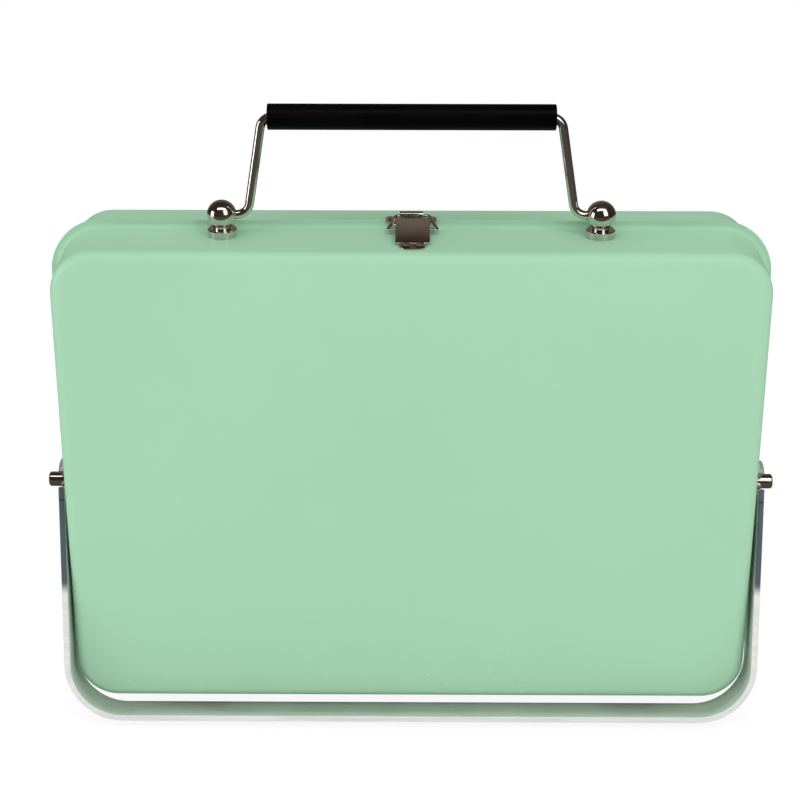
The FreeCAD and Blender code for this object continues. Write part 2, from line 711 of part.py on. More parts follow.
def ear_outline(sketch, over_wall):
    """The outline of an ear round the lever's pin, down to a height over the wall."""
    angles = [math.radians(angle) for angle in (EAR_START, (EAR_START + EAR_END) / 2, EAR_END)]
    centre = Vector(*LEVER_PIN, 0)
    crown = [centre + Vector(math.cos(angle), math.sin(angle), 0) * EAR_RADIUS for angle in angles]
    corners = [crown[2], Vector(EAR_REAR, wall_rise(EAR_REAR) + over_wall, 0),
               Vector(EAR_FRONT, wall_rise(EAR_FRONT) + over_wall, 0), Vector(EAR_FRONT, EAR_STEP, 0),
               crown[0]]
    sketch.addGeometry(Part.Arc(*crown))
    for start, end in zip(corners, corners[1:]):
        sketch.addGeometry(Part.LineSegment(start, end))


def latch_base():
    """The base plate on the top wall, with two ears that hold the lever's pin."""
    body = new_body("latch_base")
    sheet_thick = size("base_sheet")
    front = -31.0
    rear = -5.8
    plate = new_sketch(body, "YZ_Plane")
    polygon(plate, [(front, wall_rise(front)), (rear, wall_rise(rear)), (rear, wall_rise(rear) + sheet_thick),
                    (front, wall_rise(front) + sheet_thick)])
    pad(body, plate, "dims.base_width", symmetric=True)
    fillet(body, lambda edge: edge.BoundBox.YMax < front + 0.1 and edge.BoundBox.XLength < 0.01, "3.4")

    ears = new_sketch(body, "YZ_Plane")
    ear_outline(ears, sheet_thick / 2)
    pad(body, ears, "dims.base_width", symmetric=True)
    between = new_sketch(body, "YZ_Plane")
    ear_outline(between, sheet_thick)
    pocket(body, between, "dims.base_width - 2 * dims.base_sheet", symmetric=True)
    bore = new_sketch(body, "YZ_Plane")
    circle(bore, *LEVER_PIN, "dims.lever_pin_radius")
    pocket(body, bore, symmetric=True)
    holes = new_sketch(body, "XY_Plane")
    for x, y in LATCH_RIVETS:
        circle(holes, x, y, RIVET_HOLE)
    pocket(body, holes, reversed_cut=True)
    keep("latch_base", body, LATCH_FRAME)


def latch_lever():
    """The lever plate, with two cheeks that turn on the pin and carry the wire's ends."""
    body = new_body("latch_lever")
    plate = new_sketch(body, "YZ_Plane")
    ribbon(plate, [PLATE_REAR, PLATE_FRONT], [], size("latch_sheet"))
    pad(body, plate, "dims.lever_width", symmetric=True)
    under = Vector(PLATE_REAR[0] - PLATE_FRONT[0], PLATE_REAR[1] - PLATE_FRONT[1], 0).normalize()
    to_plate = (under.x * (PLATE_REAR[1] - LEVER_PIN[1]) - under.y * (PLATE_REAR[0] - LEVER_PIN[0])
                - size("latch_sheet") / 2)
    outline = [(-1.7, to_plate), (-1.7, -0.4), (-0.6, -1.5), (5.2, -1.5), (6.6, -0.1), (6.6, to_plate)]
    cheeks = new_sketch(body, "YZ_Plane")
    polygon(cheeks, [along_plate(*point) for point in outline])
    pad(body, cheeks, "dims.lever_width", symmetric=True)
    between = new_sketch(body, "YZ_Plane")
    polygon(between, [along_plate(*point) for point in outline])
    pocket(body, between, "dims.lever_width - 2 * dims.latch_sheet", symmetric=True)
    bores = new_sketch(body, "YZ_Plane")
    circle(bores, *LEVER_PIN, "dims.lever_pin_radius + 0.05")
    circle(bores, *WIRE_PIN, "dims.bail_radius + 0.05")
    pocket(body, bores, symmetric=True)
    keep("latch_lever", body, LATCH_FRAME)


def lever_pin():
    half = size("lever_width") / 2 + 0.05
    y, z = LEVER_PIN
    parts = [cylinder("dims.lever_pin_radius", str(2 * half), (-half, y, z), (1, 0, 0))]
    for side in (-1, 1):
        parts.append(cone("1.3", "0.9", "0.5", (side * half, y, z), (side, 0, 0)))
    keep("latch_lever_pin", fuse(parts), LATCH_FRAME)


def latch_wire():
    """The wire loop: its ends turn in through the lever's cheeks, and its crossbar lies in the hook."""
    reach = Vector(0, CROSSBAR[0] - WIRE_PIN[0], CROSSBAR[1] - WIRE_PIN[1])
    end_half = 6.9
    eye_half = 11.6
    bar_half = 7.8
    route = [(-end_half, 0), (-eye_half, 0), (-bar_half, reach.Length), (bar_half, reach.Length),
             (eye_half, 0), (end_half, 0)]
    wire = bent_wire("latch_wire", "XY_Plane", route, [1.1, 1.3, 1.3, 1.1], "dims.bail_radius")
    turn = Rotation(X_AXIS, math.degrees(math.atan2(reach.z, reach.y)))
    keep("latch_wire", wire, LATCH_FRAME * Placement(Vector(0, *WIRE_PIN), turn))


def latch_catch():
    """The catch on the rear half: a foot plate on the top wall and a hook that rises behind the rim."""
    body = new_body("latch_catch")
    sheet_thick = size("base_sheet")
    front = 7.0
    rear = 19.0
    foot = new_sketch(body, "YZ_Plane")
    polygon(foot, [(front, wall_rise(front)), (rear, wall_rise(rear)), (rear, wall_rise(rear) + sheet_thick),
                   (front, wall_rise(front) + sheet_thick)])
    pad(body, foot, "dims.catch_width", symmetric=True)
    fillet(body, lambda edge: edge.BoundBox.XLength < 0.01 and edge.BoundBox.YLength < 0.1
           and edge.BoundBox.ZLength > 0.5, "2.5")
    top = 7.75
    hook = new_sketch(body, "YZ_Plane")
    middle = sheet_thick / 2 + HAIR
    ribbon(hook, [(9.0, wall_rise(9.0) + middle), (5.4, wall_rise(5.4) + middle), (2.8, 4.2), (2.8, top),
                  (5.0, top)], [0.8, 0.8, 0.8], sheet_thick)
    pad(body, hook, "dims.hook_width", symmetric=True)
    holes = new_sketch(body, "XY_Plane")
    for x, y in CATCH_RIVETS:
        circle(holes, x, y, RIVET_HOLE)
    pocket(body, holes, reversed_cut=True)
    keep("latch_catch", body, CATCH_FRAME)


def wall_rivets(label, places, placement):
    """Rivets through a latch plate and the top wall."""
    parts = []
    for x, y in places:
        face = (x, y, wall_rise(y) + size("base_sheet"))
        parts += rivet(face, (0, 0, 1), size("base_sheet") + size("sheet_steel"))
    keep(label, fuse(parts), placement)


# ---------------------------------------------------------------- trays and grates

def charcoal_tray(name):
    """A shallow pan with an outward lip and air slots in its floor."""
    body = new_body(name + "_tray_outside")
    top = size("tray_top")
    pan = new_sketch(body, "XY_Plane", top)
    rounded_rectangle(pan, "dims.tray_width", "dims.tray_height", "dims.tray_corner")
    pad(body, pan, "dims.tray_depth")
    bottom = top + size("tray_depth")
    fillet(body, lambda edge: edge.BoundBox.ZMin > bottom - 0.01, "dims.tray_round")
    lip = new_sketch(body, "XY_Plane", top)
    rounded_rectangle(lip, "dims.tray_width + 2 * dims.tray_lip", "dims.tray_height + 2 * dims.tray_lip",
                      "dims.tray_corner + dims.tray_lip")
    pad(body, lip, "dims.tray_sheet")
    slot = new_sketch(body, "XY_Plane", top)
    slot_half_width = 3.0
    slot_half_length = 22.0
    slot_start = -110.0
    polygon(slot, [(slot_start - slot_half_width, -slot_half_length),
                   (slot_start + slot_half_width, -slot_half_length),
                   (slot_start + slot_half_width, slot_half_length),
                   (slot_start - slot_half_width, slot_half_length)])
    first = pocket(body, slot, reversed_cut=True)
    before = body.Shape.Volume
    pattern = body.newObject("PartDesign::LinearPattern", body.Name + "_slots")
    pattern.Originals = [first]
    pattern.Direction = (slot, ["H_Axis"])
    pattern.Length = -2 * slot_start
    pattern.Occurrences = 5
    body.Tip = pattern
    doc.recompute()
    if not body.Shape.Volume < before - 1:
        raise RuntimeError("the air slots of %s aren't repeated" % body.Name)

    cavity = new_body(name + "_tray_cavity")
    inside = new_sketch(cavity, "XY_Plane", top)
    rounded_rectangle(inside, "dims.tray_width - 2 * dims.tray_sheet",
                      "dims.tray_height - 2 * dims.tray_sheet", "dims.tray_corner - dims.tray_sheet")
    pad(cavity, inside, "dims.tray_depth - dims.tray_sheet")
    floor = bottom - size("tray_sheet")
    fillet(cavity, lambda edge: edge.BoundBox.ZMin > floor - 0.01, "dims.tray_round - dims.tray_sheet")
    keep(name + "_charcoal_tray", cut(body, cavity), HALF_FRAMES[name])


def tray_spacers(name):
    """Short posts, welded between the tray and the inside of the front."""
    bottom = size("tray_top") + size("tray_depth")
    gap = size("half_depth") - size("sheet_steel") - bottom
    across = size("spacer_across") / 2
    up = size("spacer_up") / 2
    parts = [cylinder("dims.spacer_radius", str(gap), (side * across, end * up, bottom))
             for side in (-1, 1) for end in (-1, 1)]
    keep(name + "_tray_spacers", fuse(parts), HALF_FRAMES[name])


def grate_frame(name):
    """The round frame wire of the cooking grate, lying on the tray's lip."""
    body = new_body(name + "_grate_frame")
    level = size("tray_top") - size("grate_wire_radius")
    path = new_sketch(body, "XY_Plane", level)
    rounded_rectangle(path, "dims.grate_width", "dims.grate_height", "dims.grate_corner")
    doc.recompute()
    section = new_sketch(body, "YZ_Plane")
    circle(section, size("grate_height") / 2, level, "dims.grate_wire_radius")
    doc.recompute()
    pipe = body.newObject("PartDesign::AdditivePipe", body.Name + "_pipe")
    pipe.Profile = section
    pipe.Spine = path
    doc.recompute()
    keep(name + "_grate_frame", body, HALF_FRAMES[name])


def bar_pitch():
    return (size("grate_width") - 2 * size("bar_margin")) / (size("bar_count") - 1)


def grate_bars(name):
    """Upright bars resting on the frame wire, and two cross bars behind them that keep them apart."""
    level = size("tray_top") - 2 * size("grate_wire_radius") - size("bar_radius")
    height = size("grate_height")
    width = size("grate_width")
    count = int(size("bar_count"))
    pitch = bar_pitch()
    parts = []
    for index in range(count):
        x = (index - (count - 1) / 2) * pitch
        start = (x, -height / 2 - 1, level)
        parts.append(cylinder("dims.bar_radius", "dims.grate_height + 2", start, (0, 1, 0)))
    for side in (-1, 1):
        parts.append(cylinder("dims.bar_radius", "dims.grate_width - 2 * dims.bar_margin + 8",
                              (-width / 2 + size("bar_margin") - 4, side * height / 6,
                               level + 2 * size("bar_radius")), (1, 0, 0)))
    bars = doc.addObject("Part::Compound", name + "_bars")
    bars.Links = parts
    keep(name + "_grate_bars", bars, HALF_FRAMES[name])


def grate_clips(name):
    """Four straps over the frame wire, welded to the tray's lip."""
    body = new_body(name + "_clip_strip")
    lip = size("tray_top")
    wire = size("grate_wire_radius")
    thick = size("clip_sheet")
    room = 0.05
    clip = new_sketch(body, "YZ_Plane")
    middle = size("grate_height") / 2
    reach = wire + thick / 2 + room
    crown = lip - 2 * wire - thick / 2 - room
    bend = 1.5 * thick
    ribbon(clip, [(middle + reach, lip), (middle + reach, crown), (middle - reach, crown),
                  (middle - reach, lip - wire)], [bend, bend], thick)
    pad(body, clip, "dims.clip_width", symmetric=True)
    copies = []
    # the clips stand between two bars, six and a half pitches from the middle
    out = 6.5 * bar_pitch()
    for side in (-1, 1):
        for turn in (0, 180):
            copy = doc.addObject("Part::Feature", name + "_clip")
            copy.Shape = body.Shape.copy()
            copy.Placement = Placement(Vector(side * out, 0, 0), Rotation(Z_AXIS, turn))
            copies.append(copy)
    clips = doc.addObject("Part::Compound", name + "_clips")
    clips.Links = copies
    keep(name + "_grate_clips", clips, HALF_FRAMES[name])


# ---------------------------------------------------------------- assembly

for half in ("front", "rear"):
    shell(half)
    for side_word, side_sign in (("left", -1), ("right", 1)):
        hinge_leaf(half, side_word, side_sign)
    hinge_rivets(half)
    stand_pins(half)
    pin_nuts(half)
    charcoal_tray(half)
    tray_spacers(half)
    grate_frame(half)
    grate_bars(half)
    grate_clips(half)

hinge_pin("left", -1)
hinge_pin("right", 1)
stand("front", Placement(Vector(size("stand_play"), parting_y - size("pivot_inset"), pivot_z),
                         Rotation(X_AXIS, -size("stand_tilt"))))
stand("rear", Placement(Vector(0, parting_y + size("pivot_inset"), pivot_z), Rotation(Z_AXIS, 180)))
handle_stud("left", -1)
handle_stud("right", 1)
stud_screws()
handle()
latch_base()
latch_lever()
lever_pin()
latch_wire()
latch_catch()
wall_rivets("latch_base_rivets", LATCH_RIVETS, LATCH_FRAME)
wall_rivets("latch_catch_rivets", CATCH_RIVETS, CATCH_FRAME)

doc.recompute()
for feature in doc.Objects:
    if "Invalid" in feature.State or "Error" in feature.State:
        raise RuntimeError("%s failed: %s" % (feature.Label, feature.State))
for node in nodes:
    if node.Shape.isNull() or not node.Shape.isValid():
        raise RuntimeError("%s has no valid shape" % node.Label)

os.makedirs("parts", exist_ok=True)
for node in nodes:
    node.Shape.exportStep("parts/%s.step" % node.Label)
print("%d sub-parts written" % len(nodes))
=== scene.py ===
import math

import bpy
from mathutils import Matrix, Vector


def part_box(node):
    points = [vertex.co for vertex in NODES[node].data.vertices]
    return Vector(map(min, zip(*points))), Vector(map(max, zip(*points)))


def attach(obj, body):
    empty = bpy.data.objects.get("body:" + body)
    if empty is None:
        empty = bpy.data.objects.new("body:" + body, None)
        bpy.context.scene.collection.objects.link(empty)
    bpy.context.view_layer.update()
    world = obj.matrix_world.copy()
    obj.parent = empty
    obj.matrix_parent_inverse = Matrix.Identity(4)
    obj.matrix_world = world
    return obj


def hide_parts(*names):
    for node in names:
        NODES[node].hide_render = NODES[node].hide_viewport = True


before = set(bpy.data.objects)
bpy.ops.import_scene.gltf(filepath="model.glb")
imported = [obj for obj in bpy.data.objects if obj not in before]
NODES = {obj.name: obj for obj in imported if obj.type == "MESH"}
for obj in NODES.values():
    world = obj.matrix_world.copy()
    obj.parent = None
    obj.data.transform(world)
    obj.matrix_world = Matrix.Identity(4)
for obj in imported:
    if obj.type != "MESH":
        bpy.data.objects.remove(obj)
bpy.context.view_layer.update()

bl_info = {
    "name": "Suitcase barbecue",
    "version": (1, 0, 0),
    "blender": (4, 5, 0),
    "location": "3D View > Sidebar > Barbecue",
    "description": "Finishes, softened metal edges and a studio for a folding suitcase barbecue",
    "category": "Object",
}

# CAD nodes by the finish they get
COATED_STEEL = ["front_shell", "rear_shell"]
NICKELLED = ["handle_stud_left", "handle_stud_right", "handle_wire", "front_stand_pins", "rear_stand_pins",
             "latch_base_rivets", "latch_catch_rivets", "latch_lever_pin", "latch_wire"]
ZINC_PLATED = ["front_hinge_leaf_left", "front_hinge_leaf_right", "rear_hinge_leaf_left",
               "rear_hinge_leaf_right", "front_hinge_rivets", "rear_hinge_rivets", "hinge_pin_left",
               "hinge_pin_right", "front_pin_nuts", "rear_pin_nuts", "handle_stud_screws"]
TRAY_STEEL = ["front_charcoal_tray", "rear_charcoal_tray", "front_tray_spacers", "rear_tray_spacers",
              "front_grate_clips", "rear_grate_clips"]
GRATE_WIRE = ["front_grate_frame", "rear_grate_frame", "front_grate_bars", "rear_grate_bars"]

# Sheet-metal nodes that get softened edges, each with its body
LATCH_PLATES = (("latch_base", "front_half"), ("latch_lever", "latch_lever"), ("latch_catch", "rear_half"))

# Faint creases pressed in the front panel: start and end as (x, z), and half their width, in metres
CREASES = (((-0.127, 0.1515), (-0.076, 0.056), 0.0022), ((0.126, 0.150), (0.080, 0.056), 0.0022),
           ((-0.080, 0.0535), (0.084, 0.0535), 0.0022), ((0.018, 0.1757), (0.090, 0.1757), 0.0018))
CREASE_FADE = 0.02

# On the stands' cut edges, metres below the pins: where the painted dark reflection fades out, and a nick
DARK_END = (0.053, 0.046)
NICK_DROP = 0.0060
NICK_COLOUR = (0.02, 0.024, 0.028)

# Lights: name, place, what they point at, size, power
LIGHTS = (("right_box", (0.70, -0.95, 0.86), (0, 0, 0.15), (0.7, 0.9), 3.6),
          ("left_box", (-1.30, -0.35, 0.40), (0, 0, 0.15), (0.55, 0.7), 3.8),
          ("edge_strip", (0.0, -0.58, 1.30), (0, 0, 0.2), (1.4, 0.30), 3.6))
WHITE = (1, 1, 1, 1)
SKY_LOW = 0.55
SKY_HIGH = 0.92
FLOOR_GLOW = 0.28
PAPER_SHARE = 0.85

# What bright metal mirrors: the dark warm room in front of it and behind it, and the floor
MIRRORED_FRONT = (0.040, 0.027, 0.020)
MIRRORED_BEHIND = (0.17, 0.135, 0.11)
MIRRORED_FLOOR = (0.060, 0.047, 0.038, 1)
MIRROR_SHARE = 0.97

# The camera, besides its lens and pitch
EYE = (-0.00079, -0.80739, 0.48780)
EYE_YAW = math.radians(0.3107)
EYE_ROLL = math.radians(0.0717)


# ---------------------------------------------------------------- settings

class FinishSettings(bpy.types.PropertyGroup):
    coat: bpy.props.FloatVectorProperty(
        name="Case", description="Colour of the powder coat", subtype="COLOR", size=3, min=0, max=1,
        default=(0.336, 0.590, 0.397))
    coat_worn: bpy.props.FloatVectorProperty(
        name="Case, rubbed", description="Colour of the powder coat where it is rubbed", subtype="COLOR",
        size=3, min=0, max=1, default=(0.43, 0.70, 0.50))
    aluminium: bpy.props.FloatVectorProperty(
        name="Stands", description="Colour of the aluminium strip", subtype="COLOR", size=3, min=0, max=1,
        default=(0.88, 0.87, 0.85))
    # Painted reflection: the dark blue-grey painted on the upper cut edges, for the dark surroundings they
    # mirror
    painted_edge_reflection: bpy.props.FloatVectorProperty(
        name="Stands, upper edges", description="Colour of the strip's cut edges near the pins",
        subtype="COLOR", size=3, min=0, max=1, default=(0.085, 0.115, 0.135))
    nickel: bpy.props.FloatVectorProperty(
        name="Fittings", description="Colour of the nickel plate", subtype="COLOR", size=3, min=0, max=1,
        default=(0.70, 0.65, 0.60))
    zinc: bpy.props.FloatVectorProperty(
        name="Hinges", description="Colour of the zinc plate", subtype="COLOR", size=3, min=0, max=1,
        default=(0.56, 0.56, 0.54))
    steel: bpy.props.FloatVectorProperty(
        name="Trays", description="Colour of the galvanised trays", subtype="COLOR", size=3, min=0, max=1,
        default=(0.50, 0.51, 0.52))
    sleeve: bpy.props.FloatVectorProperty(
        name="Grip", description="Colour of the grip's sleeve", subtype="COLOR", size=3, min=0, max=1,
        default=(0.0009, 0.0009, 0.0010))


class EdgeSettings(bpy.types.PropertyGroup):
    stand: bpy.props.FloatProperty(
        name="Stand edge", description="Width of the bevel along the stand strips", unit="LENGTH", min=0.0,
        default=0.0004)
    latch: bpy.props.FloatProperty(
        name="Latch edge", description="Width of the bevel on the latch's sheet metal", unit="LENGTH",
        min=0.0, default=0.00014)


class StageSettings(bpy.types.PropertyGroup):
    floor: bpy.props.FloatVectorProperty(
        name="Floor", description="Colour of the studio floor", subtype="COLOR", size=3, min=0, max=1,
        default=(0.86, 0.86, 0.86))
    floor_size: bpy.props.FloatProperty(
        name="Floor size", description="Side of the square floor", unit="LENGTH", min=0.5, default=6.0)
    lens: bpy.props.FloatProperty(
        name="Lens", description="Focal length on a 36 mm sensor", unit="CAMERA", min=10, default=81.3)
    pitch: bpy.props.FloatProperty(
        name="Pitch", description="How far the camera looks down", subtype="ANGLE",
        default=math.radians(22.266))


# ---------------------------------------------------------------- node helpers

def node_group(name, inputs, outputs):
    """A new shader node group with the given (name, kind, default) inputs and (name, kind) outputs."""
    group = bpy.data.node_groups.new(name, "ShaderNodeTree")
    for label, kind, default in inputs:
        socket = group.interface.new_socket(label, in_out="INPUT", socket_type=kind)
        if default is not None:
            socket.default_value = default
    for label, kind in outputs:
        group.interface.new_socket(label, in_out="OUTPUT", socket_type=kind)
    entry = group.nodes.new("NodeGroupInput")
    leave = group.nodes.new("NodeGroupOutput")
    return group, entry, leave


def noise(tree, vector, scale, detail=2.0, roughness=0.5):
    node = tree.nodes.new("ShaderNodeTexNoise")
    node.inputs["Detail"].default_value = detail
    node.inputs["Roughness"].default_value = roughness
    put(tree, scale, node.inputs["Scale"])
    tree.links.new(vector, node.inputs["Vector"])
    return node.outputs["Fac"]


def put(tree, source, socket):
    """Link a socket, or set a plain number."""
    if isinstance(source, bpy.types.NodeSocket):
        tree.links.new(source, socket)
    else:
        socket.default_value = source


def calc(tree, operation, *values):
    node = tree.nodes.new("ShaderNodeMath")
    node.operation = operation
    for value, socket in zip(values, node.inputs):
        put(tree, value, socket)
    return node.outputs[0]


def ramp(tree, value, low, high, out_low=0.0, out_high=1.0):
    node = tree.nodes.new("ShaderNodeMapRange")
    node.interpolation_type = "SMOOTHSTEP"
    put(tree, value, node.inputs["Value"])
    put(tree, low, node.inputs["From Min"])
    put(tree, high, node.inputs["From Max"])
    put(tree, out_low, node.inputs["To Min"])
    put(tree, out_high, node.inputs["To Max"])
    return node.outputs["Result"]


def blend_colour(tree, mask, first, second):
    node = tree.nodes.new("ShaderNodeMix")
    node.data_type = "RGBA"
    put(tree, mask, node.inputs["Factor"])
    for colour, name in ((first, "A"), (second, "B")):
        socket = [item for item in node.inputs if item.name == name and item.type == "RGBA"][0]
        if isinstance(colour, bpy.types.NodeSocket):
            tree.links.new(colour, socket)
        else:
            socket.default_value = (*colour, 1)
    return [item for item in node.outputs if item.type == "RGBA"][0]


def stretch(tree, vector, scale):
    node = tree.nodes.new("ShaderNodeVectorMath")
    node.operation = "MULTIPLY"
    tree.links.new(vector, node.inputs[0])
    node.inputs[1].default_value = scale
    return node.outputs["Vector"]


def bump(tree, shader, height, distance, strength=1.0):
    node = tree.nodes.new("ShaderNodeBump")
    node.inputs["Distance"].default_value = distance
    node.inputs["Strength"].default_value = strength
    tree.links.new(height, node.inputs["Height"])
    tree.links.new(node.outputs["Normal"], shader.inputs["Normal"])


def new_material(name):
    """A material with only a Principled shader, and the object's own coordinates."""
    material = bpy.data.materials.new(name)
    if material.name != name:
        raise RuntimeError("there is already a material named " + name)
    material.use_nodes = True
    tree = material.node_tree
    shader = tree.nodes["Principled BSDF"]
    place = tree.nodes.new("ShaderNodeTexCoord").outputs["Object"]
    return material, tree, shader, place


def add_group(tree, group, vector, **values):
    node = tree.nodes.new("ShaderNodeGroup")
    node.node_tree = group
    tree.links.new(vector, node.inputs["Vector"])
    for name, value in values.items():
        node.inputs[name.replace("_", " ").capitalize()].default_value = value
    return node


# ---------------------------------------------------------------- shared effects

def handled_metal_group():
    """Fine grain, and the soft cloudy patches that hands and cloths leave on metal or paint."""
    group, entry, leave = node_group(
        "handled_surface",
        [("Vector", "NodeSocketVector", None), ("Grain scale", "NodeSocketFloat", 900.0),
         ("Patch scale", "NodeSocketFloat", 14.0), ("Smooth", "NodeSocketFloat", 0.3),
         ("Dull", "NodeSocketFloat", 0.4)],
        [("Grain", "NodeSocketFloat"), ("Patches", "NodeSocketFloat"), ("Roughness", "NodeSocketFloat")])
    vector = entry.outputs["Vector"]
    grain = noise(group, vector, entry.outputs["Grain scale"], 3.0)
    patches = noise(group, vector, entry.outputs["Patch scale"], 4.0, 0.6)
    rough = ramp(group, patches, 0.3, 0.7, entry.outputs["Smooth"], entry.outputs["Dull"])
    group.links.new(grain, leave.inputs["Grain"])
    group.links.new(patches, leave.inputs["Patches"])
    group.links.new(rough, leave.inputs["Roughness"])
    return group


def scratch_group():
    """Thin short scratches: the edges of large warped cells, broken up so that only parts of them show."""
    group, entry, leave = node_group(
        "thin_scratches",
        [("Vector", "NodeSocketVector", None), ("Scale", "NodeSocketFloat", 20.0),
         ("Width", "NodeSocketFloat", 0.01), ("Rarity", "NodeSocketFloat", 0.6)],
        [("Scratches", "NodeSocketFloat")])
    cells = group.nodes.new("ShaderNodeTexVoronoi")
    cells.feature = "DISTANCE_TO_EDGE"
    group.links.new(entry.outputs["Vector"], cells.inputs["Vector"])
    group.links.new(entry.outputs["Scale"], cells.inputs["Scale"])
    line = calc(group, "LESS_THAN", cells.outputs["Distance"], entry.outputs["Width"])
    breaks = noise(group, entry.outputs["Vector"], 30.0, 2.0)
    shown = calc(group, "GREATER_THAN", breaks, entry.outputs["Rarity"])
    group.links.new(calc(group, "MULTIPLY", line, shown), leave.inputs["Scratches"])
    return group


def brushed_group():
    """Lines from rolling or brushing, close together along the axes that Across makes larger."""
    group, entry, leave = node_group(
        "brushed_lines",
        [("Vector", "NodeSocketVector", None), ("Across", "NodeSocketVector", (1.0, 60.0, 1.0)),
         ("Scale", "NodeSocketFloat", 40.0)],
        [("Lines", "NodeSocketFloat")])
    node = group.nodes.new("ShaderNodeVectorMath")
    node.operation = "MULTIPLY"
    group.links.new(entry.outputs["Vector"], node.inputs[0])
    group.links.new(entry.outputs["Across"], node.inputs[1])
    lines = noise(group, node.outputs["Vector"], entry.outputs["Scale"], 4.0, 0.65)
    group.links.new(lines, leave.inputs["Lines"])
    return group


# ---------------------------------------------------------------- materials

def shaded(colour, factor):
    """A colour made darker or lighter."""
    return [min(1, part * factor) for part in colour]


def crease_line(tree, place, start, end, half_width):
    """A soft ridge along a line on the front, given by (x, z) points in metres."""
    split = tree.nodes.new("ShaderNodeSeparateXYZ")
    tree.links.new(place, split.inputs[0])
    run = Vector((end[0] - start[0], end[1] - start[1]))
    length = run.length
    run.normalize()
    x = calc(tree, "SUBTRACT", split.outputs["X"], start[0])
    z = calc(tree, "SUBTRACT", split.outputs["Z"], start[1])
    along = calc(tree, "ADD", calc(tree, "MULTIPLY", x, run.x), calc(tree, "MULTIPLY", z, run.y))
    across = calc(tree, "ADD", calc(tree, "MULTIPLY", x, -run.y), calc(tree, "MULTIPLY", z, run.x))
    near = ramp(tree, calc(tree, "ABSOLUTE", across), 0.0, half_width, 1.0, 0.0)
    inside = calc(tree, "MULTIPLY", ramp(tree, along, 0.0, CREASE_FADE),
                  ramp(tree, along, length - CREASE_FADE, length, 1.0, 0.0))
    return calc(tree, "MULTIPLY", near, inside)


def coat_material(colours, surface, scratches):
    material, tree, shader, place = new_material("mint_coat")
    skin = add_group(tree, surface, place, grain_scale=1500.0, patch_scale=9.0, smooth=0.40, dull=0.48)
    marks = add_group(tree, scratches, place, scale=16.0, width=0.0012, rarity=0.62)
    split = tree.nodes.new("ShaderNodeSeparateXYZ")
    tree.links.new(place, split.inputs[0])
    low = ramp(tree, split.outputs["Z"], 0.012, 0.06, 1.0, 0.0)
    speckle = calc(tree, "GREATER_THAN", noise(tree, place, 420.0, 3.0), 0.67)
    clusters = ramp(tree, noise(tree, place, 34.0), 0.5, 0.6)
    chips = calc(tree, "MULTIPLY", speckle, calc(tree, "MULTIPLY", low, clusters))
    tone = blend_colour(tree, ramp(tree, skin.outputs["Patches"], 0.25, 0.75),
                        shaded(colours.coat, 0.985), shaded(colours.coat, 1.015))
    worn = blend_colour(tree, calc(tree, "MULTIPLY", chips, 0.7), tone, colours.coat_worn)
    marked = blend_colour(tree, calc(tree, "MULTIPLY", marks.outputs["Scratches"], 0.16), worn,
                          shaded(colours.coat, 0.86))
    tree.links.new(marked, shader.inputs["Base Color"])
    tree.links.new(skin.outputs["Roughness"], shader.inputs["Roughness"])
    shader.inputs["Specular IOR Level"].default_value = 0.42
    left, right, foot, head = [crease_line(tree, place, *crease) for crease in CREASES]
    fold = calc(tree, "ADD", calc(tree, "ADD", left, right), calc(tree, "ADD", foot, head))
    height = calc(tree, "ADD", calc(tree, "MULTIPLY", skin.outputs["Grain"], 0.10),
                  calc(tree, "MULTIPLY", fold, 0.5))
    bump(tree, shader, height, 0.0001)
    return material


def aluminium_material(colours, surface, brushed, scratches):
    material, tree, shader, place = new_material("satin_aluminium")
    skin = add_group(tree, surface, place, grain_scale=700.0, patch_scale=30.0, smooth=0.30, dull=0.46)
    rolled = add_group(tree, brushed, place, across=(1.0, 60.0, 1.0), scale=24.0)
    marks = add_group(tree, scratches, place, scale=60.0, width=0.006, rarity=0.6)
    tone = blend_colour(tree, ramp(tree, rolled.outputs["Lines"], 0.3, 0.7),
                        shaded(colours.aluminium, 0.86), colours.aluminium)
    marked = blend_colour(tree, calc(tree, "MULTIPLY", marks.outputs["Scratches"], 0.35), tone,
                          shaded(colours.aluminium, 0.6))
    split = tree.nodes.new("ShaderNodeSeparateXYZ")
    tree.links.new(place, split.inputs[0])
    normal = tree.nodes.new("ShaderNodeSeparateXYZ")
    tree.links.new(tree.nodes.new("ShaderNodeTexCoord").outputs["Normal"], normal.inputs[0])
    low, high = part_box("front_stand_pins")
    pin_height = (low[2] + high[2]) / 2
    cut_edge = ramp(tree, calc(tree, "ABSOLUTE", normal.outputs["Y"]), 0.5, 0.8)
    upper = ramp(tree, split.outputs["Z"], pin_height - DARK_END[0],
                 pin_height - DARK_END[1])
    from_nick = calc(tree, "ABSOLUTE", calc(tree, "SUBTRACT", split.outputs["Z"], pin_height - NICK_DROP))
    nick = ramp(tree, from_nick, 0.0001, 0.0005, 1.0, 0.0)
    # Painted reflection: the cut edges near the pins are painted dark blue-grey, for the dark surroundings
    # they mirror
    with_painted_reflection = blend_colour(tree, calc(tree, "MULTIPLY", cut_edge, upper), marked, colours.painted_edge_reflection)
    nicked = blend_colour(tree, calc(tree, "MULTIPLY", cut_edge, nick), with_painted_reflection, NICK_COLOUR)
    tree.links.new(nicked, shader.inputs["Base Color"])
    tree.links.new(skin.outputs["Roughness"], shader.inputs["Roughness"])
    tree.links.new(ramp(tree, cut_edge, 0.0, 1.0, 0.76, 0.20), shader.inputs["Metallic"])
    height = calc(tree, "ADD", calc(tree, "MULTIPLY", rolled.outputs["Lines"], 0.5),
                  calc(tree, "MULTIPLY", skin.outputs["Grain"], 0.5))
    bump(tree, shader, height, 0.00006)
    return material


